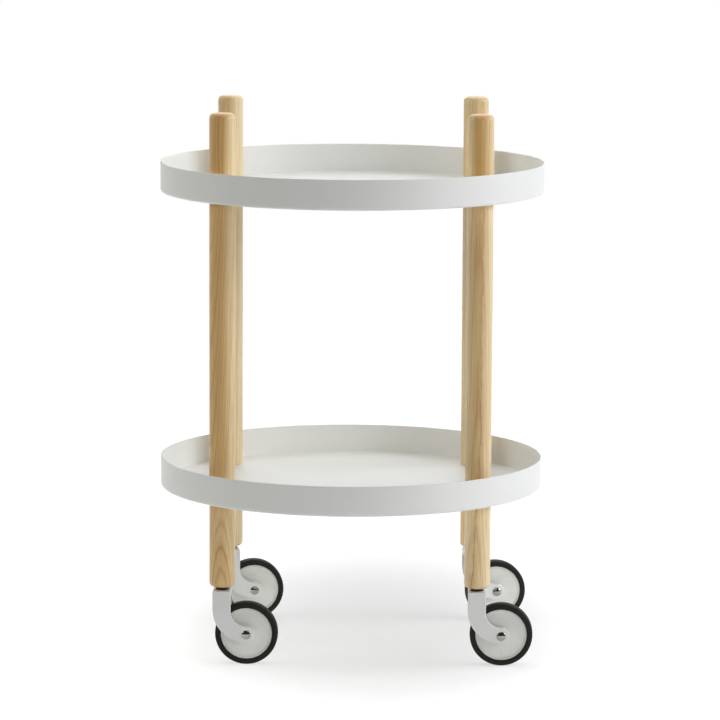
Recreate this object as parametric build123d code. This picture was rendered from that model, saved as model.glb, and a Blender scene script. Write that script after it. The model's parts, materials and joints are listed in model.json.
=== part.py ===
from build123d import *
import math
import os

# A round two-tier side trolley on four swivel casters, in millimetres.
# It stands on z = 0 with its centre over the origin; x runs to its right and y to its rear.

# Overall height, floor to the rounded tops of the legs
overall_height = 640.0

# Round trays, each one pressed steel sheet
tray_diameter = 450.0
tray_rim_height = 35.1
tray_sheet = 1.5
tray_bend_radius = 2.0
tray_edge_share = 0.4
lower_tray_underside = 189.9
upper_tray_underside = 538.6
leg_seat_depth = 0.3
leg_seat_clearance = 0.2

# Turned ash legs, each in three sections that clamp the trays between them
leg_diameter = 30.0
leg_rim_gap = 12.9
leg_angle = 41.0
leg_top_rounding = 6.0
leg_foot_rounding = 5.0
leg_end_easing = 0.6

# Threaded steel and the brass inserts that it screws into
thread_diameter = 8.0
thread_clearance = 0.05
stud_reach = 20.0
stud_hole_clearance = 0.25
insert_wall = 2.5
insert_spare_depth = 4.0

# Caster wheels
wheel_diameter = 73.0
caster_trail = 28.3
tyre_depth = 6.6
tyre_width = 16.0
tyre_edge_rounding = 2.5
tyre_key_height = 2.0
tyre_key_width = 6.0
rim_width = 14.0
rim_depth = 1.8
rim_edge_rounding = 0.7
web_thickness = 10.4
web_fillet = 1.4
hub_diameter = 16.0
hub_side_clearance = 0.4

# Caster forks
strap_width = 21.0
arm_thickness = 3.0
arm_end_radius = 9.3
fork_gap = 25.0
fork_edge_rounding = 1.0
fork_shoulder_radius = 1.3
fork_inner_fillet = 2.0
bridge_thickness = 7.5
wheel_headroom = 6.8
boss_diameter = 15.0
boss_height = 2.0

# Two-piece axles: a barrel from the rear and a domed bolt from the front, let into the arms
axle_thread_diameter = 6.0
barrel_wall = 1.6
axle_head_diameter = 10.5
axle_head_height = 4.0
axle_dome_height = 2.2
axle_hole_clearance = 0.1
barrel_spare_depth = 4.0
socket_across_flats = 8.0
socket_depth = 2.8
socket_turn = 30.0
running_clearance = 0.05

# Swivels
collar_diameter = 15.0
stem_flange_thickness = 1.7
bush_flange_thickness = 1.6
bush_wall = 2.5
swivel_gap = 0.1
nut_across_flats = 13.0
nut_height = 5.0
stem_tail = 1.0

# Where the casters happen to point: degrees that each row is turned from trailing to the right
front_caster_turn = -1.4
rear_caster_turn = 7.5

# Places, levels and radii that follow from the sizes above
leg_circle_radius = tray_diameter / 2 - tray_sheet - leg_rim_gap - leg_diameter / 2
leg_x = leg_circle_radius * math.cos(math.radians(leg_angle))
leg_y = leg_circle_radius * math.sin(math.radians(leg_angle))
axle_height = wheel_diameter / 2
bridge_underside = wheel_diameter + wheel_headroom
fork_top = bridge_underside + bridge_thickness
stem_flange_underside = fork_top + bush_flange_thickness + swivel_gap
leg_foot = stem_flange_underside + stem_flange_thickness
lower_leg_seat = lower_tray_underside + tray_sheet - leg_seat_depth
upper_leg_seat = upper_tray_underside + tray_sheet - leg_seat_depth
thread_radius = thread_diameter / 2
insert_bore_radius = thread_radius + thread_clearance
insert_radius = insert_bore_radius + insert_wall
insert_length = stud_reach + insert_spare_depth
rim_radius = wheel_diameter / 2 - tyre_depth
fork_width = fork_gap + 2 * arm_thickness
boss_span = fork_gap - 2 * boss_height
barrel_bore_radius = axle_thread_diameter / 2 + thread_clearance
barrel_radius = barrel_bore_radius + barrel_wall
head_inner_face = fork_width / 2 - axle_head_height
bush_bore_radius = thread_radius + running_clearance
bush_radius = bush_bore_radius + bush_wall

corners = {
    "front_left": (-leg_x, -leg_y, front_caster_turn),
    "front_right": (leg_x, -leg_y, front_caster_turn),
    "rear_left": (-leg_x, leg_y, rear_caster_turn),
    "rear_right": (leg_x, leg_y, rear_caster_turn),
}


def rod(radius, bottom, top):
    """An upright cylinder on the z axis."""
    upright = Cylinder(radius, top - bottom, align=(Align.CENTER, Align.CENTER, Align.MIN))
    return Pos(0, 0, bottom) * upright


def cross_rod(radius, start, end):
    """A cylinder along y, on the caster's axle line."""
    lying = Rot(-90, 0, 0) * rod(radius, start, end)
    return Pos(caster_trail, 0, axle_height) * lying


def turned(points, radii):
    """A solid turned about the z axis from a closed half section of (radius, height) points."""
    outline = FilletPolyline(*points, radius=radii, close=True)
    return revolve(make_face(Plane.XZ * outline), Axis.Z)


def wheel_turned(outline):
    """A solid turned about the axle line from a half section of (radius, distance along axle)."""
    return Pos(caster_trail, 0, axle_height) * revolve(make_face(outline), Axis.Y)


def mirrored(half_section):
    """A closed outline from the (radius, distance along axle, rounding) corners of its rear half."""
    front_half = [(radius, -along, rounding) for radius, along, rounding in reversed(half_section)]
    section = half_section + front_half
    points = [(radius, along) for radius, along, _ in section]
    radii = [rounding for _, _, rounding in section]
    return FilletPolyline(*points, radius=radii, close=True)


def at_leg(corner, piece):
    """The piece moved from the z axis to a leg's axis."""
    x, y, _ = corners[corner]
    return Pos(x, y, 0) * piece


def at_caster(corner, piece):
    """The piece moved to a leg's axis and turned with that caster."""
    x, y, turn = corners[corner]
    return Pos(x, y, 0) * Rot(0, 0, turn) * piece


def tray(underside):
    """A round pan with a rounded rim edge, a stud hole and a shallow seat at each leg."""
    radius = tray_diameter / 2
    section = [
        (0, 0),
        (radius, 0),
        (radius, tray_rim_height),
        (radius - tray_sheet, tray_rim_height),
        (radius - tray_sheet, tray_sheet),
        (0, tray_sheet),
    ]
    rim_edge = tray_edge_share * tray_sheet
    outer_bend = tray_bend_radius + tray_sheet
    pan = turned(section, [0, outer_bend, rim_edge, rim_edge, tray_bend_radius, 0])
    stud_hole = rod(thread_radius + stud_hole_clearance, 0, tray_sheet)
    seat = rod(leg_diameter / 2 + leg_seat_clearance, tray_sheet - leg_seat_depth, tray_sheet)
    for corner in corners:
        pan -= at_leg(corner, stud_hole)
        pan -= at_leg(corner, seat)
    return Pos(0, 0, underside) * pan


def leg_section(bottom, top, bottom_rounding, top_rounding):
    """A turned length of leg with rounded end edges."""
    radius = leg_diameter / 2
    section = [(0, bottom), (radius, bottom), (radius, top), (0, top)]
    return turned(section, [0, bottom_rounding, top_rounding, 0])


def insert_rod(radius, end, way):
    """A cylinder as long as an insert, from a leg section's end face up (1) or down (-1)."""
    far_end = end + way * insert_length
    return rod(radius, min(end, far_end), max(end, far_end))


def insert_bore(end, way):
    """The blind hole for an insert."""
    return insert_rod(insert_radius, end, way)


def insert(end, way):
    """A threaded sleeve that fills its blind hole and is flush with the end face."""
    return insert_bore(end, way) - insert_rod(insert_bore_radius, end, way)


def stud(underside, seat):
    """A threaded rod that passes through a tray into the leg sections below and above it."""
    return rod(thread_radius, underside - stud_reach, seat + stud_reach)


def top_peg():
    """The grip above the upper tray."""
    peg = leg_section(upper_leg_seat, overall_height, leg_end_easing, leg_top_rounding)
    return peg - insert_bore(upper_leg_seat, 1)


def middle_post():
    """The post between the trays."""
    post = leg_section(lower_leg_seat, upper_tray_underside, leg_end_easing, leg_end_easing)
    post -= insert_bore(lower_leg_seat, 1)
    return post - insert_bore(upper_tray_underside, -1)


def lower_post():
    """The post below the lower tray, with the caster's socket in its foot."""
    post = leg_section(leg_foot, lower_tray_underside, leg_foot_rounding, leg_end_easing)
    post -= insert_bore(leg_foot, 1)
    return post - insert_bore(lower_tray_underside, -1)


def caster_stem():
    """A threaded pin with a flange, screwed into the foot; its lower end carries the fork."""
    tail = bridge_underside - swivel_gap - nut_height - stem_tail
    pin = rod(thread_radius, tail, leg_foot + stud_reach)
    return pin + rod(collar_diameter / 2, stem_flange_underside, leg_foot)


def stem_nut():
    """A hexagon nut under the bridge that keeps the fork on the stem."""
    top = bridge_underside - swivel_gap
    hexagon = RegularPolygon(nut_across_flats / 2, 6, major_radius=False)
    nut = Pos(0, 0, top - nut_height) * extrude(hexagon, nut_height)
    return nut - rod(thread_radius + thread_clearance, top - nut_height, top)


def swivel_bush():
    """A flanged plain bearing, pressed into the bridge, that turns on the stem."""
    body = rod(bush_radius, bridge_underside, fork_top)
    flange = rod(collar_diameter / 2, fork_top, fork_top + bush_flange_thickness)
    return body + flange - rod(bush_bore_radius, bridge_underside, fork_top + bush_flange_thickness)


def arm_outline():
    """The J of one arm: a straight strap that bends a quarter turn and ends round the axle."""
    half = strap_width / 2
    inner_radius = caster_trail - half
    outer_radius = caster_trail + half
    inner_bend = axle_height + arm_end_radius + inner_radius
    outer_bend = axle_height - arm_end_radius + outer_radius
    outline = [
        CenterArc((caster_trail, outer_bend), outer_radius, 180, 90),
        CenterArc((caster_trail, axle_height), arm_end_radius, -90, 180),
        CenterArc((caster_trail, inner_bend), inner_radius, 180, 90),
        Polyline((half, inner_bend), (half, fork_top), (-half, fork_top), (-half, outer_bend)),
    ]
    face = make_face(outline)
    return fillet(face.vertices().group_by(Axis.Y)[-1], fork_shoulder_radius)


def fork():
    """Two J-shaped arms joined by a bridge, with a bush bore and counterbored axle holes."""
    yoke = extrude(Plane.XZ * arm_outline(), fork_width / 2, both=True)
    sides = yoke.faces().filter_by(Axis.Y)
    yoke = fillet(sides.edges(), fork_edge_rounding)
    reach = 2 * (caster_trail + strap_width)
    yoke -= Box(reach, fork_gap, bridge_underside, align=(Align.CENTER, Align.CENTER, Align.MIN))
    crosswise = yoke.edges().filter_by(Axis.X)
    inner_corners = crosswise.group_by(lambda edge: abs(edge.center().Z - bridge_underside))[0]
    yoke = fillet(inner_corners, fork_inner_fillet)
    for side in (-1, 1):
        ends = sorted([side * fork_gap / 2, side * boss_span / 2])
        yoke += cross_rod(boss_diameter / 2, *ends)
    head_bore = axle_head_diameter / 2 + axle_hole_clearance
    yoke -= cross_rod(head_bore, -fork_width / 2, -head_inner_face)
    yoke -= cross_rod(head_bore, head_inner_face, fork_width / 2)
    yoke -= cross_rod(axle_thread_diameter / 2 + axle_hole_clearance, -head_inner_face, -boss_span / 2)
    yoke -= cross_rod(barrel_radius + axle_hole_clearance, boss_span / 2, head_inner_face)
    return yoke - rod(bush_radius, bridge_underside, fork_top)


def socket():
    """The hexagon recess in the barrel's head, from the rear arm's outer face inwards along y."""
    hexagon = RegularPolygon(socket_across_flats / 2, 6, major_radius=False, rotation=socket_turn)
    lying = Rot(90, 0, 0) * extrude(hexagon, socket_depth)
    return Pos(caster_trail, fork_width / 2, axle_height) * lying


def axle_bolt():
    """The front half of the axle: a head that domes out of the front arm, and a threaded shank."""
    radius = axle_head_diameter / 2
    tip = -fork_width / 2 - axle_dome_height
    dome_radius = (radius**2 + axle_dome_height**2) / (2 * axle_dome_height)
    ball = Pos(caster_trail, tip + dome_radius, axle_height) * Sphere(dome_radius)
    dome = cross_rod(radius, tip, -fork_width / 2) & ball
    head = cross_rod(radius, -fork_width / 2, -head_inner_face)
    shank = cross_rod(axle_thread_diameter / 2, -head_inner_face, head_inner_face - barrel_spare_depth)
    return dome + head + shank


def axle_barrel():
    """The rear half of the axle: a socket head flush in the rear arm, and the tube the wheel runs on."""
    outer_face = fork_width / 2
    head = cross_rod(axle_head_diameter / 2, head_inner_face, outer_face)
    tube = cross_rod(barrel_radius, -boss_span / 2, head_inner_face)
    bore = cross_rod(barrel_bore_radius, -boss_span / 2, head_inner_face)
    return head + (tube - bore) - socket()


def wheel_disc():
    """The wheel's centre: a hub that runs on the barrel, a web and a rim with a key for the tyre."""
    bore = barrel_radius + running_clearance
    hub = hub_diameter / 2
    hub_half = boss_span / 2 - hub_side_clearance
    rim_half = rim_width / 2
    web_half = web_thickness / 2
    key_half = tyre_key_width / 2
    rim_inner = rim_radius - rim_depth
    key_radius = rim_radius + tyre_key_height
    half_section = [
        (bore, hub_half, 0),
        (hub, hub_half, 0),
        (hub, web_half, web_fillet),
        (rim_inner, web_half, web_fillet),
        (rim_inner, rim_half, rim_edge_rounding),
        (rim_radius, rim_half, rim_edge_rounding),
        (rim_radius, key_half, 0),
        (key_radius, key_half, 0),
    ]
    return wheel_turned(mirrored(half_section))


def tyre():
    """A rubber ring with a flat tread and rounded shoulders, keyed onto the rim."""
    half = tyre_width / 2
    key_half = tyre_key_width / 2
    half_section = [
        (rim_radius + tyre_key_height, key_half, 0),
        (rim_radius, key_half, 0),
        (rim_radius, half, 0),
        (wheel_diameter / 2, half, tyre_edge_rounding),
    ]
    return wheel_turned(mirrored(half_section))


def each_leg(piece):
    """Copies of a piece at all four legs, as separate solids."""
    return Compound([at_leg(corner, piece).solid() for corner in corners])


nodes = {
    "upper_tray": tray(upper_tray_underside),
    "lower_tray": tray(lower_tray_underside),
    "upper_leg_studs": each_leg(stud(upper_tray_underside, upper_leg_seat)),
    "lower_leg_studs": each_leg(stud(lower_tray_underside, lower_leg_seat)),
    "top_peg_inserts": each_leg(insert(upper_leg_seat, 1)),
    "middle_post_upper_inserts": each_leg(insert(upper_tray_underside, -1)),
    "middle_post_lower_inserts": each_leg(insert(lower_leg_seat, 1)),
    "lower_post_upper_inserts": each_leg(insert(lower_tray_underside, -1)),
    "caster_inserts": each_leg(insert(leg_foot, 1)),
    "caster_stems": each_leg(caster_stem()),
    "stem_nuts": each_leg(stem_nut()),
}

leg_pieces = {
    "top_peg": top_peg(),
    "middle_post": middle_post(),
    "lower_post": lower_post(),
}

caster_pieces = {
    "fork": fork(),
    "swivel_bush": swivel_bush(),
    "axle_bolt": axle_bolt(),
    "axle_barrel": axle_barrel(),
    "wheel_disc": wheel_disc(),
    "tyre": tyre(),
}

for corner in corners:
    for name, piece in leg_pieces.items():
        nodes[f"{corner}_{name}"] = at_leg(corner, piece)
    for name, piece in caster_pieces.items():
        nodes[f"{corner}_{name}"] = at_caster(corner, piece)

os.makedirs("parts", exist_ok=True)
for name, shape in nodes.items():
    export_step(shape, f"parts/{name}.step")
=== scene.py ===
"""A round side trolley: white steel trays, turned ash legs and swivel casters, dressed for its picture."""
import json
import logging
import math
from collections.abc import Sequence
from dataclasses import dataclass, fields
from enum import Enum
from typing import Any

import bpy
import numpy as np
from mathutils import Matrix, Vector


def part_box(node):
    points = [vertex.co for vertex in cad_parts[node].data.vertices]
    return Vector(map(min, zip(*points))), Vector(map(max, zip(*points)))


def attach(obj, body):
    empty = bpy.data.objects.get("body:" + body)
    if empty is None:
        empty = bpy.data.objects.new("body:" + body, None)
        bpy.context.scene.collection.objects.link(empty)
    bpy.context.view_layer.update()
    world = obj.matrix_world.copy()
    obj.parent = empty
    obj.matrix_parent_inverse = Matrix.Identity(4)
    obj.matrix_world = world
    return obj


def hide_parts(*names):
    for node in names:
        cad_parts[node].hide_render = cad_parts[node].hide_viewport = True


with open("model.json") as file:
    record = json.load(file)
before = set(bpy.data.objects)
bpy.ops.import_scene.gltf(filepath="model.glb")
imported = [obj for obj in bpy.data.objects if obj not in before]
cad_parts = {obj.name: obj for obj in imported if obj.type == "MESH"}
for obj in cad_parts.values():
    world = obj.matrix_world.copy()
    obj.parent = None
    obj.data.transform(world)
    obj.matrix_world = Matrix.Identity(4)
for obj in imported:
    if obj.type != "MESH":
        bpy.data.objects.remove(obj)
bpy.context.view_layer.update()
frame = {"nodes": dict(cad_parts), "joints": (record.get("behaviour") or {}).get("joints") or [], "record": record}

MM = 0.001
LOG = logging.getLogger("side_trolley")
UP = np.array([0.0, 0.0, 1.0])
ARC_MARGIN = 0.25
ON_AXIS = 1e-9
CLOUD_RANGE = (0.3, 0.7)
MIX_FIRST, MIX_SECOND, MIX_RESULT = 6, 7, 2

Pair = tuple[float, float]
Triple = tuple[float, float, float]
Socket = bpy.types.NodeSocket
Piece = bpy.types.Object
Material = bpy.types.Material


class Corner(Enum):
    """The four legs, named as the frame names their pieces."""

    FRONT_LEFT = "front_left"
    FRONT_RIGHT = "front_right"
    REAR_LEFT = "rear_left"
    REAR_RIGHT = "rear_right"

    def named(self, piece: str) -> str:
        """The frame's name for one of this corner's pieces, joints or bodies."""
        return f"{self.value}_{piece}"

    def spot(self) -> Pair:
        """Where the leg and its caster's swivel stand on the floor, in metres."""
        return tuple(joint(self.named("swivel"))["pos_m"][:2])


class Length(Enum):
    """The three turned lengths of a leg, from the top down."""

    TOP_PEG = "top_peg"
    MIDDLE_POST = "middle_post"
    LOWER_POST = "lower_post"


def joint(name: str) -> dict[str, Any]:
    """The frame's entry for a joint, with pos_m and axis, by name."""
    return next(entry for entry in frame["joints"] if entry["name"] == name)


def turned_span(node: str) -> Triple:
    """An upright turned node's radius, foot and top, in metres."""
    low, high = (np.array(corner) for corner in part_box(node))
    return (high - low)[:2].max() / 2, low[2], high[2]


@dataclass(frozen=True)
class Placement:
    """Where a turned shape stands: its centre, two directions across its axis and the axis itself."""

    origin: np.ndarray
    across: np.ndarray
    along_turn: np.ndarray
    axis: np.ndarray

    @staticmethod
    def upright(x: float, y: float) -> "Placement":
        """A vertical axis through (x, y), with heights counted from the floor."""
        return Placement(np.array([x, y, 0.0]), np.array([1.0, 0, 0]), np.array([0, 1.0, 0]), UP)

    def carry(self, radii: np.ndarray, heights: np.ndarray, angles: np.ndarray) -> np.ndarray:
        """Carries polar points into the frame.

        Each point is origin + r cos(a) across + r sin(a) along_turn + h axis.

        Args:
            radii: distances r from the axis.
            heights: distances h along the axis.
            angles: turns a about the axis, in radians.

        Returns:
            The points, with x, y and z in the last dimension.
        """
        flat = (radii * np.cos(angles))[..., None] * self.across
        flat = flat + (radii * np.sin(angles))[..., None] * self.along_turn
        return self.origin + flat + heights[..., None] * self.axis


def rounded_profile(corners: Sequence[Triple], closed: bool, steps: int = 8) -> np.ndarray:
    """Draws a half section with rounded corners.

    A corner p with unit directions a and b to its neighbours and half angle t between them becomes an arc that
    starts r / tan(t) along a, ends r / tan(t) along b, and is centred r / sin(t) along their bisector. A point is
    added just outside each arc, so that smooth shading stays inside the rounding.

    Args:
        corners: (radius, height, rounding) of each corner, in metres.
        closed: whether the last corner joins the first.
        steps: segments in each arc.

    Returns:
        The (radius, height) points of the section.
    """
    points = np.array([corner[:2] for corner in corners])
    share = np.linspace(0.0, 1.0, steps + 1)[:, None]
    pieces: list[np.ndarray] = []
    for index, (_, _, rounding) in enumerate(corners):
        at_end = not closed and index in (0, len(corners) - 1)
        if rounding <= 0.0 or at_end:
            pieces.append(points[index][None])
            continue
        corner = points[index]
        back = points[index - 1] - corner
        ahead = points[(index + 1) % len(corners)] - corner
        back_length, ahead_length = np.linalg.norm(back), np.linalg.norm(ahead)
        back, ahead = back / back_length, ahead / ahead_length
        half = math.acos(np.clip(back @ ahead, -1.0, 1.0)) / 2
        reach = rounding / math.tan(half)
        middle = corner + (back + ahead) / np.linalg.norm(back + ahead) * rounding / math.sin(half)
        first, last = corner + back * reach - middle, corner + ahead * reach - middle
        sweep = math.pi - 2 * half
        arc = (np.sin((1 - share) * sweep) * first + np.sin(share * sweep) * last) / math.sin(sweep)
        margin = ARC_MARGIN * rounding
        if back_length > reach + 2 * margin:
            pieces.append((corner + back * (reach + margin))[None])
        pieces.append(middle + arc)
        if ahead_length > reach + 2 * margin:
            pieces.append((corner + ahead * (reach + margin))[None])
    return np.concatenate(pieces)


def grid_quads(rows: int, columns: int, close_rows: bool) -> np.ndarray:
    """Numbers the quads of a grid of points that is closed along its columns.

    Args:
        rows: how many rings of points.
        columns: how many points in each ring.
        close_rows: whether the last ring joins the first.

    Returns:
        Four point numbers for each quad.
    """
    row, column = np.meshgrid(np.arange(rows if close_rows else rows - 1), np.arange(columns), indexing="ij")
    next_row, next_column = (row + 1) % rows, (column + 1) % columns
    quads = [row * columns + column, row * columns + next_column]
    quads += [next_row * columns + next_column, next_row * columns + column]
    return np.stack(quads, axis=-1).reshape(-1, 4)


def signed_volume(points: np.ndarray, triangles: np.ndarray) -> float:
    """Sums a sixth of a . (b x c) over the triangles, which is positive where they face outwards."""
    a, b, c = (points[triangles[:, k]] for k in range(3))
    return float(np.einsum("ij,ij->i", a, np.cross(b, c)).sum() / 6)


def linked_piece(name: str, points: np.ndarray, faces: list[list[int]]) -> Piece:
    """Puts points and faces into a new object of the scene.

    Args:
        name: the object's name.
        points: all points, in metres.
        faces: the point numbers of each face.

    Returns:
        The new object, at the origin.
    """
    mesh = bpy.data.meshes.new(name)
    mesh.from_pydata(points.tolist(), [], faces)
    piece = bpy.data.objects.new(name, mesh)
    bpy.context.scene.collection.objects.link(piece)
    return piece


def make_piece(name: str, points: np.ndarray, quads: np.ndarray, fans: np.ndarray, crease: float) -> Piece:
    """Puts a closed surface into a new object, facing outwards and smooth below the crease angle.

    Args:
        name: the object's name.
        points: all points, in metres.
        quads: four point numbers for each quad.
        fans: three point numbers for each triangle at a pole.
        crease: angle in degrees above which an edge stays sharp.

    Returns:
        The new object, at the origin.
    """
    centred = points - points.mean(axis=0)
    triangles = np.concatenate([quads[:, [0, 1, 2]], quads[:, [0, 2, 3]], fans])
    if signed_volume(centred, triangles) < 0:
        quads, fans = quads[:, ::-1], fans[:, ::-1]
    piece = linked_piece(name, points, quads.tolist() + fans.tolist())
    piece.data.validate()
    piece.data.shade_smooth()
    piece.data.set_sharp_from_angle(angle=math.radians(crease))
    return piece


def turned_piece(name: str, profile: np.ndarray, place: Placement, segments: int, crease: float = 40.0) -> Piece:
    """Turns a half section about an axis.

    Point (i, j) is the section's point i swung to angle 2 pi j / segments. A section that ends on the axis closes
    in a pole there, and any other section closes on itself.

    Args:
        name: the object's name.
        profile: (radius, height) points.
        place: the axis to turn about.
        segments: points in each ring.
        crease: angle in degrees above which an edge stays sharp.

    Returns:
        The new object.
    """
    radii = np.repeat(profile[:, :1], segments, axis=1)
    return ringed_piece(name, radii, profile[:, 1], place, crease)


def ringed_piece(name: str, radii: np.ndarray, heights: np.ndarray, place: Placement, crease: float) -> Piece:
    """Joins rings of points about an axis into a closed surface.

    Point (i, j) lies radii[i, j] from the axis at angle 2 pi j / columns and heights[i] along it.

    Args:
        name: the object's name.
        radii: one row of radii for each ring; a row of zeros at either end is a pole.
        heights: each ring's place along the axis.
        place: the axis.
        crease: angle in degrees above which an edge stays sharp.

    Returns:
        The new object.
    """
    columns = radii.shape[1]
    poles = [index for index in (0, -1) if radii[index].max() < ON_AXIS]
    body = slice(1 if 0 in poles else 0, -1 if -1 in poles else None)
    angles = 2 * np.pi * np.arange(columns) / columns
    rings = radii[body]
    rows = len(rings)
    points = place.carry(rings, np.repeat(heights[body, None], columns, axis=1), angles[None, :]).reshape(-1, 3)
    quads = grid_quads(rows, columns, close_rows=not poles)
    this, following = np.arange(columns), (np.arange(columns) + 1) % columns
    fans = np.zeros((0, 3), dtype=int)
    for pole in poles:
        tip = place.origin + heights[pole] * place.axis
        ring = 0 if pole == 0 else (rows - 1) * columns
        corners = [np.full(columns, len(points)), ring + following, ring + this]
        fan = np.stack(corners if pole == 0 else corners[::-1], axis=-1)
        points = np.concatenate([points, tip[None]])
        fans = np.concatenate([fans, fan])
    return make_piece(name, points, quads, fans, crease)


class Nodes:
    """A tree of shader nodes while it is put together."""

    def __init__(self, tree: bpy.types.NodeTree) -> None:
        """Takes up a tree."""
        self.tree = tree

    def add(self, kind: str, inputs: dict[Any, Any] | None = None, **settings: Any) -> bpy.types.Node:
        """Adds a node.

        Args:
            kind: the node's type, without its ShaderNode prefix.
            inputs: a value or an output socket for each input, by name or number.
            settings: the node's own options.

        Returns:
            The new node.
        """
        node = self.tree.nodes.new("ShaderNode" + kind)
        for option, value in settings.items():
            setattr(node, option, value)
        self.feed(node, inputs or {})
        return node

    def feed(self, node: bpy.types.Node, inputs: dict[Any, Any]) -> None:
        """Sets or links a node's inputs.

        Args:
            node: the node to feed.
            inputs: a value or an output socket for each input, by name or number.
        """
        for key, value in inputs.items():
            if isinstance(value, Socket):
                self.tree.links.new(value, node.inputs[key])
            else:
                node.inputs[key].default_value = value

    def math(self, operation: str, *values: Any) -> Socket:
        """One Math node on the given values or sockets."""
        return self.add("Math", dict(enumerate(values)), operation=operation).outputs[0]

    def seen(self) -> Socket:
        """Tells what looks at the surface.

        Returns:
            1 for the eye, a reflection or clear glass, and 0 for light that only falls on it.
        """
        path = self.add("LightPath").outputs
        looks = self.math("ADD", path["Is Camera Ray"], path["Is Glossy Ray"])
        return self.math("MINIMUM", self.math("ADD", looks, path["Is Transmission Ray"]), 1.0)


class Recipe(Nodes):
    """A material while it is put together, around one Principled shader."""

    def __init__(self, name: str) -> None:
        """Starts a material that reads Object coordinates.

        Args:
            name: the material's name.
        """
        self.material = bpy.data.materials.new(name)
        self.material.use_nodes = True
        super().__init__(self.material.node_tree)
        self.shader = self.tree.nodes["Principled BSDF"]
        self.place = self.add("TexCoord").outputs["Object"]

    def moved(self, vector: Socket, start: Triple) -> Socket:
        """Counts coordinates from another start."""
        return self.add("VectorMath", {0: vector, 1: start}, operation="SUBTRACT").outputs[0]

    def stretched(self, vector: Socket, scale: Triple) -> Socket:
        """Scales coordinates by a different factor along each axis."""
        return self.add("VectorMath", {0: vector, 1: scale}, operation="MULTIPLY").outputs[0]

    def length(self, vector: Socket) -> Socket:
        """The length of a vector."""
        return self.add("VectorMath", {0: vector}, operation="LENGTH").outputs["Value"]

    def noise(self, vector: Socket, scale: float, detail: float = 2.0) -> Socket:
        """A cloud of values from 0 to 1 about 1 / scale metres across."""
        return self.add("TexNoise", {"Vector": vector, "Scale": scale, "Detail": detail}).outputs["Fac"]

    def streaks(self, vector: Socket, scale: Triple, detail: float = 2.0) -> Socket:
        """A cloud of values from 0 to 1 about 1 / scale metres long along each axis."""
        return self.noise(self.stretched(vector, scale), 1.0, detail)

    def ramp(self, value: Socket, low: float, high: float, to_low: float, to_high: float) -> Socket:
        """Carries the range low..high to the range to_low..to_high, and clamps it there."""
        limits = {"From Min": low, "From Max": high, "To Min": to_low, "To Max": to_high}
        return self.add("MapRange", {"Value": value, **limits}).outputs["Result"]

    def spread(self, cloud: Socket, low: float, high: float) -> Socket:
        """Carries the range where most of a cloud lies to low..high."""
        return self.ramp(cloud, *CLOUD_RANGE, low, high)

    def mix(self, share: Any, first: Any, second: Any) -> Socket:
        """Blends two colours by a share of the second."""
        inputs = {"Factor": share, MIX_FIRST: first, MIX_SECOND: second}
        return self.add("Mix", inputs, data_type="RGBA").outputs[MIX_RESULT]

    def bump(self, height: Socket, depth: float, strength: float) -> None:
        """Raises the surface by heights from 0 to 1 that stand for depth metres, and shows a share of the slope."""
        node = self.add("Bump", {"Height": height, "Distance": depth, "Strength": strength})
        self.feed(self.shader, {"Normal": node.outputs["Normal"]})


def rgba(colour: Triple) -> tuple[float, ...]:
    """Adds a full alpha to a colour."""
    return (*colour, 1.0)


@dataclass(frozen=True)
class PlainFinish:
    """Paint, powder coat, metal or moulded plastic: one colour with a faint cloudiness and a fine skin.

    Attributes:
        shade: the colour that the main one drifts to.
        roughness: its mean roughness, which strays by sheen_range.
        skin_size: how wide the skin's bumps are, in metres.
        skin_depth: how deep they are, in metres.
        gloss: how strongly its surface mirrors.
    """

    name: str
    colour: Triple
    shade: Triple
    roughness: float
    skin_size: float
    skin_depth: float
    metallic: float = 0.0
    gloss: float = 0.5
    drift_scale: float = 9.0
    drift_range: Pair = (0.35, 0.65)
    sheen_scale: float = 40.0
    sheen_range: float = 0.03
    skin_strength: float = 0.6

    def material(self) -> Material:
        """Builds the finish.

        Returns:
            The material.
        """
        recipe = Recipe(self.name)
        drift = recipe.ramp(recipe.noise(recipe.place, self.drift_scale, detail=3.0), *self.drift_range, 0.0, 1.0)
        sheen = recipe.noise(recipe.place, self.sheen_scale, detail=3.0)
        shiniest, dullest = self.roughness - self.sheen_range, self.roughness + self.sheen_range
        skin = recipe.noise(recipe.place, 1.0 / self.skin_size)
        recipe.feed(
            recipe.shader,
            {
                "Base Color": recipe.mix(drift, rgba(self.colour), rgba(self.shade)),
                "Roughness": recipe.spread(sheen, shiniest, dullest),
                "Metallic": self.metallic,
                "Specular IOR Level": self.gloss,
            },
        )
        recipe.bump(skin, self.skin_depth, self.skin_strength)
        return recipe.material


@dataclass(frozen=True)
class Vein:
    """One dark line down a length of wood.

    Attributes:
        place: where it crosses the pattern's middle, as a share of the leg's radius from the leg's axis.
        slope: how many of those shares it strays in a metre.
        width: half its width, in shares.
        strength: how dark it is, from 0 to 1.
    """

    place: float
    slope: float
    width: float = 0.05
    strength: float = 0.7


@dataclass(frozen=True)
class AshCut:
    """How one turned length of ash was cut from the tree.

    Attributes:
        pith: where the tree's centre line passes, in metres across from the leg's axis.
        lean: how far the grain tips against the leg, in degrees.
        ring: the width of one year's growth, in metres.
        shift: the height of the pattern's middle, in metres.
        tone: how tan the length is, from 0, pale, to 1.
        sap: how far that tone falls towards the left and the right, both as paler sapwood and as a painted highlight
            on the leg's edges that the side lamps light.
        contrast: how dark the ring lines are, from 0 to 1.
        wander: how far the rings stray, in metres.
        heart: how much tan the darker decades of growth hold, from 0 to 1.
        vein: a dark line, if any.
    """

    pith: Pair
    lean: Pair
    ring: float
    shift: float
    tone: float = 0.2
    sap: Pair = (0.0, 0.5)
    contrast: float = 0.4
    wander: float = 5.0 * MM
    heart: float = 0.6
    vein: Vein | None = None


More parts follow.
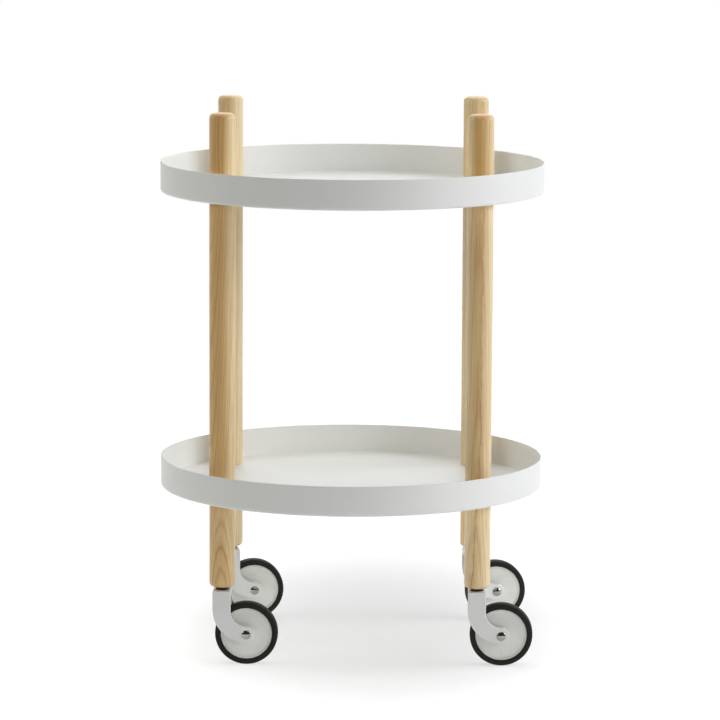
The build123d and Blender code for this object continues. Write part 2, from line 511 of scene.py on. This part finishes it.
@dataclass(frozen=True)
class LacqueredAsh:
    """Pale ash under clear satin lacquer.

    A scale says how often a pattern repeats in a metre, across the grain twice and then along it. A range says
    between which values of a pattern its mark comes up.
    """

    pale: Triple = (0.95, 0.79, 0.5)
    tan: Triple = (0.76, 0.475, 0.165)
    brown: Triple = (0.47, 0.21, 0.075)
    roughness: float = 0.38
    sheen_range: Pair = (-0.05, 0.07)
    gloss: float = 0.5
    leg_radius: float = 15.0 * MM
    sap_start: float = 0.3
    wander_scale: Triple = (16.0, 16.0, 4.0)
    ripple_scale: Triple = (90.0, 90.0, 12.0)
    ripple_reach: float = 0.5
    decade_scale: float = 0.3
    early_range: Pair = (0.05, 0.3)
    late_range: Pair = (0.75, 1.0)
    late_shade: float = 0.8
    faintest_year: float = 0.1
    fibre_scale: Triple = (900.0, 900.0, 9.0)
    fibre_range: Pair = (0.45, 0.7)
    fibre_shade: float = 0.3
    fibre_depth: float = 0.06 * MM
    fibre_strength: float = 0.5
    pore_scale: Triple = (2600.0, 2600.0, 90.0)
    pore_range: Pair = (0.56, 0.7)
    pore_shade: float = 0.5
    end_range: Pair = (0.2, 0.9)
    end_shade: float = 0.1
    end_roughness: float = 0.47
    waver_scale: Triple = (0.0, 0.0, 30.0)
    waver_range: Pair = (0.2, 0.8)
    waver_reach: float = 0.2
    fade_scale: Triple = (0.0, 0.0, 45.0)
    fade_range: Pair = (0.35, 0.6)
    faintest_vein: float = 0.3
    core_share: float = 0.3
    halo_reach: float = 6.0
    halo_shade: float = 0.3

    def material(self, name: str, cut: AshCut, spot: Pair) -> Material:
        """The wood of one length, cut so, of the leg that stands at a spot on the floor."""
        return AshRecipe(name, self, cut, spot).finished()


class AshRecipe(Recipe):
    """The wood of one length while it is put together."""

    def __init__(self, name: str, wood: LacqueredAsh, cut: AshCut, spot: Pair) -> None:
        """Starts the material.

        Args:
            name: the material's name.
            wood: its colours and patterns.
            cut: how the length was cut.
            spot: the leg's place on the floor.
        """
        super().__init__(name)
        self.wood, self.cut, self.spot = wood, cut, spot

    def grain(self) -> Socket:
        """Counts places from the tree's centre line.

        Returns:
            The place in the tree, in metres, with z along the grain.
        """
        (x, y), cut = self.spot, self.cut
        moved = self.moved(self.place, (x + cut.pith[0], y + cut.pith[1], cut.shift))
        tilt = (math.radians(cut.lean[0]), math.radians(cut.lean[1]), 0.0)
        return self.add("Mapping", {"Vector": moved, "Rotation": tilt}).outputs[0]

    def rings(self, grain: Socket) -> Socket:
        """Counts growth rings outwards from the centre line.

        The count is the distance from the line, strayed by a slow wander and a quick ripple, over a ring's width.

        Args:
            grain: the place in the tree.

        Returns:
            The count, whose whole part is the ring and whose fraction is the place in it.
        """
        wood, cut = self.wood, self.cut
        distance = self.length(self.stretched(grain, (1.0, 1.0, 0.0)))
        bent = self.math("MULTIPLY_ADD", self.streaks(grain, wood.wander_scale), cut.wander, distance)
        bent = self.math("MULTIPLY_ADD", self.streaks(grain, wood.ripple_scale), wood.ripple_reach * cut.ring, bent)
        return self.math("DIVIDE", bent, cut.ring)

    def tone(self) -> Socket:
        """Lets the tan fall off towards the leg's left and right, partly as paler sapwood and partly as a painted
        highlight on the edges that the side lamps light.

        Returns:
            How tan the wood is, from 0 to 1.
        """
        middle, radius, sap = self.spot[0], self.wood.leg_radius, self.cut.sap
        across = self.add("SeparateXYZ", {0: self.place}).outputs["X"]
        # Painted highlight, in part: the leg's left and right edges are made paler where the side lamps light them.
        left = self.ramp(across, middle - radius, middle - self.wood.sap_start * radius, sap[0], 0.0)
        right = self.ramp(across, middle, middle + radius, 0.0, sap[1])
        tone = self.math("SUBTRACT", self.cut.tone, self.math("ADD", left, right))
        return self.math("MAXIMUM", tone, 0.0)

    def vein(self, vein: Vein) -> Socket:
        """Draws a vein as a plane that wavers along the leg and fades here and there.

        Args:
            vein: where it runs.

        Returns:
            How dark it is, from 0 to 1.
        """
        wood = self.wood
        spot = self.add("SeparateXYZ", {0: self.place}).outputs
        share = self.math("DIVIDE", self.math("SUBTRACT", spot["X"], self.spot[0]), wood.leg_radius)
        height = self.math("SUBTRACT", spot["Z"], self.cut.shift)
        line = self.math("MULTIPLY_ADD", height, vein.slope, vein.place)
        waver = self.streaks(self.place, wood.waver_scale, detail=3.0)
        line = self.math("ADD", line, self.ramp(waver, *wood.waver_range, -wood.waver_reach, wood.waver_reach))
        off = self.math("ABSOLUTE", self.math("SUBTRACT", share, line))
        core = self.ramp(off, wood.core_share * vein.width, vein.width, 1.0, 0.0)
        halo = self.ramp(off, 0.0, wood.halo_reach * vein.width, wood.halo_shade, 0.0)
        fade = self.ramp(self.streaks(self.place, wood.fade_scale), *wood.fade_range, wood.faintest_vein, 1.0)
        shown = self.math("MULTIPLY", self.math("MAXIMUM", core, halo), fade)
        return self.math("MULTIPLY", shown, vein.strength)

    def finished(self) -> Material:
        """Builds the wood.

        Each growth ring starts with a dark line of pores and darkens again at its end, by a share that differs from
        year to year. Fine fibres run along the grain, and end grain, where the surface faces up or down, is a
        little darker and duller.

        Returns:
            The material.
        """
        wood, cut = self.wood, self.cut
        pale, tan, brown = rgba(wood.pale), rgba(wood.tan), rgba(wood.brown)
        grain = self.grain()
        rings = self.rings(grain)
        year = self.add("TexWhiteNoise", {"W": self.math("FLOOR", rings)}, noise_dimensions="1D").outputs["Value"]
        growth = {"W": rings, "Scale": wood.decade_scale, "Detail": 1.0}
        decade = self.add("TexNoise", growth, noise_dimensions="1D").outputs["Fac"]
        phase = self.math("FRACT", rings)
        early = self.ramp(phase, *wood.early_range, 1.0, 0.0)
        late = self.ramp(phase, *wood.late_range, 0.0, wood.late_shade)
        line = self.math("MAXIMUM", early, late)
        line = self.math("MULTIPLY", line, self.ramp(year, 0.0, 1.0, wood.faintest_year, 1.0))
        fibre = self.streaks(grain, wood.fibre_scale, detail=3.0)
        pores = self.ramp(self.streaks(grain, wood.pore_scale, detail=1.0), *wood.pore_range, 0.0, 1.0)
        upward = self.add("SeparateXYZ", {0: self.add("NewGeometry").outputs["Normal"]}).outputs["Z"]
        end = self.ramp(self.math("ABSOLUTE", upward), *wood.end_range, 0.0, 1.0)
        marks = [
            self.math("MULTIPLY", line, cut.contrast),
            self.ramp(fibre, *wood.fibre_range, 0.0, wood.fibre_shade),
            self.math("MULTIPLY", self.math("MULTIPLY", pores, early), wood.pore_shade),
            *([self.vein(cut.vein)] if cut.vein else []),
            self.math("MULTIPLY", end, wood.end_shade),
        ]
        colour = self.mix(self.tone(), self.mix(self.spread(decade, 0.0, cut.heart), pale, tan), tan)
        for mark in marks:
            colour = self.mix(mark, colour, brown)
        satin = self.spread(fibre, *(wood.roughness + stray for stray in wood.sheen_range))
        dulled = self.math("MULTIPLY_ADD", end, wood.end_roughness - wood.roughness, satin)
        self.feed(self.shader, {"Base Color": colour, "Roughness": dulled, "Specular IOR Level": wood.gloss})
        self.bump(fibre, wood.fibre_depth, wood.fibre_strength)
        return self.material


@dataclass(frozen=True)
class Finishes:
    """Every finish but the wood, by the record's slot name, and the polish on the axle ends."""

    white_coat: PlainFinish = PlainFinish(
        "white_powder_coat", (0.92, 0.925, 0.905), (0.91, 0.915, 0.895), 0.36, 1.6 * MM, 0.006 * MM, gloss=0.35
    )
    caster_paint: PlainFinish = PlainFinish(
        "pale_caster_paint", (0.86, 0.865, 0.85), (0.84, 0.845, 0.83), 0.36, 1.2 * MM, 0.01 * MM, gloss=0.35
    )
    disc_plastic: PlainFinish = PlainFinish(
        "moulded_disc_plastic", (0.84, 0.85, 0.80), (0.82, 0.83, 0.78), 0.28, 0.7 * MM, 0.01 * MM
    )
    tyre_rubber: PlainFinish = PlainFinish(
        "black_tyre_rubber", (0.021, 0.0215, 0.0175), (0.025, 0.0255, 0.021), 0.6, 0.9 * MM, 0.03 * MM, gloss=0.12
    )
    # Painted shade: the stems and nuts that show under the leg's foot are near-black brown to stand for the shadow
    # there.
    steel: PlainFinish = PlainFinish(
        "blackened_steel", (0.055, 0.038, 0.027), (0.045, 0.031, 0.022), 0.42, 0.5 * MM, 0.01 * MM, metallic=1.0
    )
    polished_steel: PlainFinish = PlainFinish(
        "polished_steel", (0.36, 0.36, 0.345), (0.33, 0.33, 0.318), 0.1, 0.5 * MM, 0.002 * MM, metallic=1.0
    )
    brass: PlainFinish = PlainFinish(
        "turned_brass", (0.62, 0.46, 0.2), (0.55, 0.4, 0.17), 0.3, 0.5 * MM, 0.01 * MM, metallic=1.0
    )
    black_plastic: PlainFinish = PlainFinish(
        "black_bush_plastic", (0.022, 0.014, 0.009), (0.03, 0.02, 0.013), 0.5, 0.8 * MM, 0.03 * MM, gloss=0.25
    )

    def materials(self) -> dict[str, Material]:
        """Builds each finish once, and gives the materials by field name."""
        return {field.name: getattr(self, field.name).material() for field in fields(self)}


def dress(piece: Piece, material: Material, slot: str, body: str, *nodes: str) -> None:
    """Gives a new piece its finish and its place in the frame.

    Args:
        piece: the new piece.
        material: its finish.
        slot: the record's slot for that finish; not used.
        body: the body that it moves with.
        nodes: the nodes that it stands for.
    """
    piece.data.materials.append(material)
    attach(piece, body)
    if nodes:
        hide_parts(*nodes)
    LOG.info("%s: %d faces on %s", piece.name, len(piece.data.polygons), body)


@dataclass(frozen=True)
class Tray:
    """A round pan pressed from one sheet, with a rounded rim edge and a soft bend at the floor."""

    node: str
    sheet: float = 1.5 * MM
    inner_bend: float = 2.0 * MM
    rim_edge: float = 0.72 * MM
    segments: int = 256

    def build(self) -> Piece:
        """Turns the pan's section about the trolley's centre line.

        Returns:
            The pan.
        """
        radius, foot, top = turned_span(self.node)
        floor, inside = foot + self.sheet, radius - self.sheet
        corners = [
            (0.0, foot, 0.0),
            (radius, foot, self.inner_bend + self.sheet),
            (radius, top, self.rim_edge),
            (inside, top, self.rim_edge),
            (inside, floor, self.inner_bend),
            (0.0, floor, 0.0),
        ]
        profile = rounded_profile(corners, closed=False)
        return turned_piece("dressed_" + self.node, profile, Placement.upright(0.0, 0.0), self.segments)

    def make(self, finishes: dict[str, Material]) -> None:
        """Builds the pan and dresses it."""
        dress(self.build(), finishes["white_coat"], "white_coat", "trolley", self.node)


@dataclass(frozen=True)
class Leg:
    """One leg: three turned lengths that clamp the trays between them."""

    corner: Corner
    cuts: dict[Length, AshCut]
    top_rounding: float = 6.0 * MM
    foot_rounding: float = 5.0 * MM
    easing: float = 0.6 * MM
    segments: int = 96

    def build(self, length: Length) -> Piece:
        """Turns one length about the leg's axis.

        Args:
            length: which of the three.

        Returns:
            The turned length.
        """
        node = self.corner.named(length.value)
        radius, foot, top = turned_span(node)
        lower = self.foot_rounding if length is Length.LOWER_POST else self.easing
        upper = self.top_rounding if length is Length.TOP_PEG else self.easing
        corners = [(0.0, foot, 0.0), (radius, foot, lower), (radius, top, upper), (0.0, top, 0.0)]
        profile = rounded_profile(corners, closed=False)
        return turned_piece("dressed_" + node, profile, Placement.upright(*self.corner.spot()), self.segments)

    def make(self, wood: LacqueredAsh) -> None:
        """Builds and dresses the three lengths.

        Args:
            wood: the finish of the lengths.
        """
        for length in Length:
            node = self.corner.named(length.value)
            material = wood.material("ash_" + node, self.cuts[length], self.corner.spot())
            dress(self.build(length), material, "ash", "trolley", node)


@dataclass(frozen=True)
class Caster:
    """One swivel caster: the disc, the tyre, the axle ends and the collar. The fork keeps its own shape."""

    corner: Corner
    tyre_depth: float = 6.6 * MM
    tyre_half: float = 8.0 * MM
    tyre_edge: float = 2.5 * MM
    tyre_inner_edge: float = 0.6 * MM
    seam_height: float = 0.12 * MM
    seam_half: float = 0.35 * MM
    seam_steps: int = 8
    rim_half: float = 7.0 * MM
    rim_depth: float = 1.8 * MM
    rim_edge: float = 0.7 * MM
    web_half_at_hub: float = 5.4 * MM
    web_half_at_rim: float = 5.1 * MM
    web_fillet: float = 1.4 * MM
    hub_radius: float = 8.0 * MM
    hub_half: float = 10.1 * MM
    hub_edge: float = 0.6 * MM
    hub_bore: float = 4.7 * MM
    bore_edge: float = 0.3 * MM
    head_radius: float = 5.25 * MM
    head_height: float = 4.0 * MM
    head_edge: float = 0.3 * MM
    dome_height: float = 2.2 * MM
    dome_steps: int = 12
    fork_half: float = 15.5 * MM
    socket_flats: float = 8.0 * MM
    socket_depth: float = 2.8 * MM
    socket_edge: float = 0.25 * MM
    socket_crease: float = 30.0
    shank_radius: float = 3.0 * MM
    bolt_tip: float = -7.5 * MM
    tube_radius: float = 4.65 * MM
    tube_bore: float = 3.05 * MM
    tube_tip: float = 10.5 * MM
    collar_body: float = 6.55 * MM
    collar_bore: float = 4.05 * MM
    collar_edge: float = 0.35 * MM
    segments: int = 128
    axle_segments: int = 72
    collar_segments: int = 64

    def name(self, piece: str) -> str:
        """The frame's name for one of this caster's pieces, joints or bodies."""
        return self.corner.named(piece)

    def axle(self) -> Placement:
        """Finds the axle's line.

        Returns:
            The line, with its angles counted from straight up.
        """
        roll = joint(self.name("roll"))
        axis = np.array(roll["axis"], dtype=float)
        return Placement(np.array(roll["pos_m"], dtype=float), UP, np.cross(axis, UP), axis)

    def tyre(self) -> Piece:
        """Turns the tyre's section about the axle.

        The tread is flat between rounded shoulders, with a narrow moulding seam along its middle whose height is
        s (1 - (h / w)^2) at the distance h from the middle.

        Returns:
            The tyre.
        """
        place = self.axle()
        radius, half = place.origin[2], self.tyre_half
        rim, tread = radius - self.tyre_depth, radius - self.seam_height
        corners = [
            (tread, 0.0, 0.0),
            (tread, half, self.tyre_edge),
            (rim, half, self.tyre_inner_edge),
            (rim, -half, self.tyre_inner_edge),
            (tread, -half, self.tyre_edge),
            (tread, 0.0, 0.0),
        ]
        along = np.linspace(-1.0, 1.0, self.seam_steps + 1) * self.seam_half
        seam = np.stack([tread + self.seam_height * (1 - (along / self.seam_half) ** 2), along], axis=-1)
        profile = np.concatenate([seam, rounded_profile(corners, closed=False)[1:-1]])
        return turned_piece("dressed_" + self.name("tyre"), profile, place, self.segments)

    def disc(self) -> Piece:
        """Turns the wheel disc's section, alike on both faces, about the axle.

        Returns:
            The disc, with its hub, dished web and raised rim.
        """
        place = self.axle()
        rim = place.origin[2] - self.tyre_depth
        face = [
            (self.hub_bore, self.hub_half, self.bore_edge),
            (self.hub_radius, self.hub_half, self.hub_edge),
            (self.hub_radius, self.web_half_at_hub, self.web_fillet),
            (rim - self.rim_depth, self.web_half_at_rim, self.web_fillet),
            (rim - self.rim_depth, self.rim_half, self.rim_edge),
            (rim, self.rim_half, self.rim_edge),
        ]
        far_face = [(radius, -along, rounding) for radius, along, rounding in reversed(face)]
        profile = rounded_profile(face + far_face, closed=True, steps=6)
        return turned_piece("dressed_" + self.name("wheel_disc"), profile, place, self.segments)

    def axle_bolt(self) -> Piece:
        """Turns the axle's front half: a shank, and a head that domes out of the arm.

        The dome is the cap, d high, of a sphere of radius (a^2 + d^2) / 2d over the head's radius a.

        Returns:
            The bolt.
        """
        head, dome = self.head_radius, self.dome_height
        inner = self.fork_half - self.head_height
        sphere = (head**2 + dome**2) / (2 * dome)
        turns = np.linspace(math.asin(head / sphere), 0.0, self.dome_steps + 1)
        cap = np.stack([sphere * np.sin(turns), self.fork_half + dome - sphere * (1 - np.cos(turns))], axis=-1)
        corners = [
            (0.0, self.bolt_tip, 0.0),
            (self.shank_radius, self.bolt_tip, self.head_edge),
            (self.shank_radius, inner, 0.0),
            (head, inner, self.head_edge),
            (head, self.fork_half, 0.0),
        ]
        profile = np.concatenate([rounded_profile(corners, closed=False, steps=3)[:-1], cap])
        profile[:, 1] *= -1.0
        return turned_piece("dressed_" + self.name("axle_bolt"), profile, self.axle(), self.axle_segments)

    def axle_barrel(self) -> Piece:
        """Shapes the axle's rear half: a flush head with a hexagon socket, on the tube that the wheel runs on.

        A ring of the socket lies at r(a) = f / cos(b), where f is half its width across flats and b is the angle a
        from the nearest flat's middle. The socket stands on a corner.

        Returns:
            The barrel.
        """
        columns = self.axle_segments
        angles = 2 * np.pi * np.arange(columns) / columns
        from_flat = (angles % (math.pi / 3)) - math.pi / 6
        hexagon = self.socket_flats / 2 / np.cos(from_flat)
        ring = np.ones(columns)
        head, edge = self.head_radius, self.head_edge
        outer = self.fork_half
        inner = outer - self.head_height
        rows = [
            (0 * ring, inner),
            (self.tube_bore * ring, inner),
            (self.tube_bore * ring, -self.tube_tip),
            (self.tube_radius * ring, -self.tube_tip),
            (self.tube_radius * ring, inner),
            ((head - edge) * ring, inner),
            (head * ring, inner + edge),
            (head * ring, outer - edge),
            ((head - edge) * ring, outer),
            (hexagon + self.socket_edge, outer),
            (hexagon, outer - self.socket_edge),
            (hexagon, outer - self.socket_depth),
            (0 * ring, outer - self.socket_depth),
        ]
        radii = np.stack([row for row, _ in rows])
        heights = np.array([height for _, height in rows])
        name = "dressed_" + self.name("axle_barrel")
        return ringed_piece(name, radii, heights, self.axle(), self.socket_crease)

    def collar(self) -> Piece:
        """Turns the swivel bush with its flange about the leg's axis.

        Returns:
            The bush.
        """
        radius, foot, top = turned_span(self.name("swivel_bush"))
        fork_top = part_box(self.name("fork"))[1][2]
        corners = [
            (self.collar_bore, top, self.collar_edge),
            (radius, top, self.collar_edge),
            (radius, fork_top, self.collar_edge),
            (self.collar_body, fork_top, 0.0),
            (self.collar_body, foot, 0.0),
            (self.collar_bore, foot, 0.0),
        ]
        profile = rounded_profile(corners, closed=True, steps=4)
        place = Placement.upright(*self.corner.spot())
        return turned_piece("dressed_" + self.name("swivel_bush"), profile, place, self.collar_segments)

    def make(self, finishes: dict[str, Material]) -> None:
        """Builds and dresses the caster's new pieces.

        Args:
            finishes: the materials by slot name.
        """
        fork_body, wheel_body = self.name("caster"), self.name("wheel")
        dress(self.tyre(), finishes["tyre_rubber"], "tyre_rubber", wheel_body, self.name("tyre"))
        dress(self.disc(), finishes["disc_plastic"], "disc_plastic", wheel_body, self.name("wheel_disc"))
        dress(self.collar(), finishes["black_plastic"], "black_plastic", fork_body, self.name("swivel_bush"))
        dress(self.axle_bolt(), finishes["polished_steel"], "steel", fork_body, self.name("axle_bolt"))
        dress(self.axle_barrel(), finishes["polished_steel"], "steel", fork_body, self.name("axle_barrel"))


@dataclass(frozen=True)
class PhotoCamera:
    """The camera that took the picture: place in metres, turns in degrees, focal length in pixels."""

    place: Triple = (0.0336083, -4.8284529, 1.031087)
    pitch: float = 8.17
    yaw: float = -0.2792
    roll: float = 0.2857
    focal_pixels: float = 4129.56
    image_pixels: int = 720
    sensor: float = 36.0
    far_end: float = 100.0

    def build(self) -> None:
        """Makes the camera and hands it to the scene."""
        pitch, yaw, roll = (math.radians(angle) for angle in (self.pitch, self.yaw, self.roll))
        ahead = Vector((math.sin(yaw) * math.cos(pitch), math.cos(yaw) * math.cos(pitch), -math.sin(pitch)))
        level = Vector((math.cos(yaw), -math.sin(yaw), 0.0))
        upward = level.cross(ahead)
        right = level * math.cos(roll) + upward * math.sin(roll)
        top = upward * math.cos(roll) - level * math.sin(roll)
        lens = bpy.data.cameras.new("photo_camera")
        lens.sensor_width = self.sensor
        lens.lens = self.focal_pixels / self.image_pixels * self.sensor
        lens.clip_end = self.far_end
        camera = bpy.data.objects.new("photo_camera", lens)
        turn = Matrix((right, top, -ahead)).transposed().to_4x4()
        camera.matrix_world = Matrix.Translation(self.place) @ turn
        bpy.context.scene.collection.objects.link(camera)
        bpy.context.scene.camera = camera


@dataclass(frozen=True)
class Softbox:
    """A soft studio light that points at the trolley's middle."""

    name: str
    place: Triple
    size: Pair
    power: float
    tint: Triple
    target: Triple = (0.0, 0.0, 0.4)
    mirrored: bool = True

    def build(self) -> None:
        """Hangs the light, and keeps it out of reflections if it isn't mirrored."""
        lamp = bpy.data.lights.new(self.name, "AREA")
        lamp.shape = "RECTANGLE"
        lamp.size, lamp.size_y = self.size
        lamp.energy = self.power
        lamp.color = self.tint
        box = bpy.data.objects.new(self.name, lamp)
        box.location = self.place
        box.visible_glossy = self.mirrored
        box.rotation_euler = (Vector(self.target) - Vector(self.place)).to_track_quat("-Z", "Y").to_euler()
        bpy.context.scene.collection.objects.link(box)


@dataclass(frozen=True)
class Studio:
    """A white room: a floor that keeps the shadow and adds a painted shadow pool, a white surround, a dark end and
    soft lights.

    Attributes:
        floor_paint: how much of the light the floor gives back to the object.
        seen_paint: how much of it the eye sees.
        floor_glow: the floor's own light under the object, which ends at glow_reach from the middle.
        near_lift: the white that the eye sees besides, at the centre of the painted shadow pool under the trolley,
            where that white is lowest.
        full_lift: the most of that white, outside the painted shadow.
        shade_reach: how far from the painted shadow's centre, along x and y, that white has risen by 1.
    """

    floor_reach: float = 3.0
    floor_segments: int = 96
    floor_paint: float = 0.8
    seen_paint: float = 0.4
    floor_glow: float = 0.42
    glow_reach: float = 0.6
    near_lift: float = 0.436
    full_lift: float = 0.9
    shade_centre: Pair = (0.037, 0.124)
    shade_reach: Pair = (0.444, 0.839)
    wall_reach: float = 6.0
    wall_height: float = 18.0
    wall_half_turn: float = 85.0
    wall_segments: int = 32
    wall_glow: float = 0.06
    wall_tint: Triple = (1.0, 0.97, 0.9)
    cloth_paint: Pair = (0.01, 0.02)
    cloth_scale: float = 1.5
    boxes: tuple[Softbox, ...] = (
        Softbox("right", (2.6, -0.1, 1.5), (1.8, 1.0), 35.1, (0.97, 1.0, 1.03)),
        Softbox("right_front", (2.2, -1.8, 1.2), (1.4, 1.8), 16.9, (1.02, 0.98, 1.0), mirrored=False),
        Softbox("left", (-2.6, -0.1, 1.5), (1.8, 1.0), 18.0, (1.04, 1.02, 0.94)),
        Softbox("top", (0.0, 0.1, 2.8), (2.2, 2.2), 21.4, (1.0, 1.0, 1.0)),
        Softbox("back", (0.0, 2.2, 2.3), (2.4, 1.6), 29.7, (0.99, 1.0, 1.01)),
        Softbox("front", (0.0, -3.2, 1.8), (2.4, 1.2), 13.6, (0.98, 1.03, 0.98), mirrored=False),
    )

    def world(self) -> None:
        """Makes the surround: plain white to the eye and in reflections, and dark otherwise."""
        world = bpy.data.worlds.new("white_surround")
        world.use_nodes = True
        bpy.context.scene.world = world
        nodes = Nodes(world.node_tree)
        inputs = {"Color": rgba((1.0, 1.0, 1.0)), "Strength": nodes.seen()}
        nodes.feed(nodes.tree.nodes["Background"], inputs)

    def floor(self) -> None:
        """Lays a round white floor that the eye and reflections see brighter than the light makes it, save for a
        painted shadow pool under the trolley where that added white dips.
        """
        angles = 2 * np.pi * np.arange(self.floor_segments) / self.floor_segments
        rim = np.stack([np.cos(angles), np.sin(angles), 0 * angles], axis=-1) * self.floor_reach
        floor = linked_piece("studio_floor", rim, [list(range(len(rim)))])
        recipe = Recipe("studio_floor")
        # Painted shadow: the added white grows with the square of the distance from the pool's centre, so it is
        # lowest under the trolley.
        shares = (1 / self.shade_reach[0], 1 / self.shade_reach[1], 0.0)
        centred = recipe.moved(recipe.place, (*self.shade_centre, 0.0))
        off = recipe.length(recipe.stretched(centred, shares))
        lift_with_painted_shadow = recipe.math("MINIMUM", recipe.math("MULTIPLY_ADD", off, off, self.near_lift), self.full_lift)
        glow = recipe.ramp(recipe.length(recipe.place), 0.0, self.glow_reach, self.floor_glow, 0.0)
        seen = recipe.seen()
        strength = recipe.math("MULTIPLY_ADD", recipe.math("SUBTRACT", lift_with_painted_shadow, glow), seen, glow)
        level = recipe.ramp(seen, 0.0, 1.0, self.floor_paint, self.seen_paint)
        paint = recipe.add("BsdfDiffuse", {"Color": level}).outputs[0]
        light = recipe.add("Emission", {"Strength": strength}).outputs[0]
        both = recipe.add("AddShader", {0: paint, 1: light}).outputs[0]
        recipe.feed(recipe.tree.nodes["Material Output"], {"Surface": both})
        recipe.tree.nodes.remove(recipe.shader)
        floor.data.materials.append(recipe.material)

    def wall(self) -> None:
        """Stands the room's dark end behind the camera, where only reflections find it."""
        half = math.radians(self.wall_half_turn)
        angles = np.linspace(-half, half, self.wall_segments + 1)
        rim = np.stack([np.sin(angles), -np.cos(angles), 0 * angles], axis=-1) * self.wall_reach
        first = np.arange(self.wall_segments)
        quads = np.stack([first, first + 1, first + 1 + len(rim), first + len(rim)], axis=-1)
        wall = linked_piece("dark_room_end", np.concatenate([rim, rim + UP * self.wall_height]), quads.tolist())
        wall.visible_camera = False
        recipe = Recipe("dark_room_end")
        cloth = recipe.spread(recipe.noise(recipe.place, self.cloth_scale), *self.cloth_paint)
        glow = recipe.math("MULTIPLY", recipe.add("LightPath").outputs["Is Glossy Ray"], self.wall_glow)
        recipe.feed(recipe.shader, {"Base Color": cloth, "Roughness": 1.0, "Specular IOR Level": 0.0})
        recipe.feed(recipe.shader, {"Emission Color": rgba(self.wall_tint), "Emission Strength": glow})
        wall.data.materials.append(recipe.material)

    def build(self) -> None:
        """Makes the surround, the floor, the dark end of the room and the lights."""
        self.world()
        self.floor()
        self.wall()
        for box in self.boxes:
            box.build()
        bpy.context.scene.view_settings.view_transform = "Standard"


LEG_CUTS: dict[Corner, dict[Length, AshCut]] = {
    Corner.FRONT_LEFT: {
        Length.TOP_PEG: AshCut(
            pith=(-0.03, 0.03), lean=(0.3, -0.6), ring=3.2 * MM, shift=0.31, tone=1.0, sap=(0.2, 1.0), contrast=0.85
        ),
        Length.MIDDLE_POST: AshCut(
            pith=(0.06, 0.03), lean=(0.5, -3.0), ring=2.6 * MM, shift=0.4, tone=0.9, sap=(0.1, 1.2), contrast=0.6,
            heart=0.35,
        ),
        Length.LOWER_POST: AshCut(
            pith=(0.003, 0.03), lean=(-3.9, 0.3), ring=1.9 * MM, shift=0.155, tone=0.55, sap=(0.0, 0.65),
            contrast=0.7, wander=2.0 * MM,
        ),
    },
    Corner.FRONT_RIGHT: {
        Length.TOP_PEG: AshCut(
            pith=(0.02, 0.05), lean=(0.4, 0.5), ring=3.0 * MM, shift=0.6, tone=1.0, sap=(0.9, 1.0), contrast=0.6,
            heart=0.3,
        ),
        Length.MIDDLE_POST: AshCut(
            pith=(0.004, 0.045), lean=(-0.8, 0.5), ring=2.6 * MM, shift=0.37, tone=0.65, sap=(0.8, 1.0), contrast=0.6,
            wander=2.0 * MM, heart=0.25, vein=Vein(place=0.15, slope=0.3),
        ),
        Length.LOWER_POST: AshCut(
            pith=(0.012, 0.04), lean=(-2.0, 1.2), ring=2.6 * MM, shift=0.14, tone=0.25, sap=(0.4, 0.4), contrast=0.45,
            wander=2.0 * MM, heart=0.25, vein=Vein(place=-0.3, slope=3.5, width=0.06, strength=1.0),
        ),
    },
    Corner.REAR_LEFT: {
        Length.TOP_PEG: AshCut(
            pith=(0.05, 0.04), lean=(0.3, 0.5), ring=2.6 * MM, shift=0.21, tone=0.55, sap=(0.1, 1.2), heart=0.1
        ),
        Length.MIDDLE_POST: AshCut(
            pith=(-0.05, 0.02), lean=(0.5, -0.6), ring=2.2 * MM, shift=0.43, tone=0.0, contrast=0.3, heart=0.2
        ),
        Length.LOWER_POST: AshCut(pith=(0.02, 0.05), lean=(1.5, 0.5), ring=2.4 * MM, shift=0.17, tone=0.0, heart=0.3),
    },
    Corner.REAR_RIGHT: {
        Length.TOP_PEG: AshCut(pith=(-0.04, 0.05), lean=(0.5, -0.4), ring=2.6 * MM, shift=0.19),
        Length.MIDDLE_POST: AshCut(pith=(0.03, 0.03), lean=(0.4, 0.5), ring=2.2 * MM, shift=0.35),
        Length.LOWER_POST: AshCut(pith=(-0.02, 0.04), lean=(2.0, -0.6), ring=2.4 * MM, shift=0.14),
    },
}


def dress_frame(finishes: dict[str, Material]) -> None:
    """Gives every node that keeps its own shape the finish of its slot.

    Args:
        finishes: the materials by slot name.
    """
    slots = {entry["node"]: entry["material_slot"] for entry in frame["record"]["subparts"]}
    for name, node in frame["nodes"].items():
        if slots[name] in finishes:
            node.data.materials.clear()
            node.data.materials.append(finishes[slots[name]])


def main() -> None:
    """Builds the trolley's pieces in order, then the studio round them."""
    logging.basicConfig(level=logging.INFO, format="%(message)s")
    finishes = Finishes().materials()
    dress_frame(finishes)
    for node in ("upper_tray", "lower_tray"):
        Tray(node).make(finishes)
    wood = LacqueredAsh()
    for corner in Corner:
        Leg(corner, LEG_CUTS[corner]).make(wood)
        Caster(corner).make(finishes)
    Studio().build()
    PhotoCamera().build()


if __name__ == "__main__":
    main()
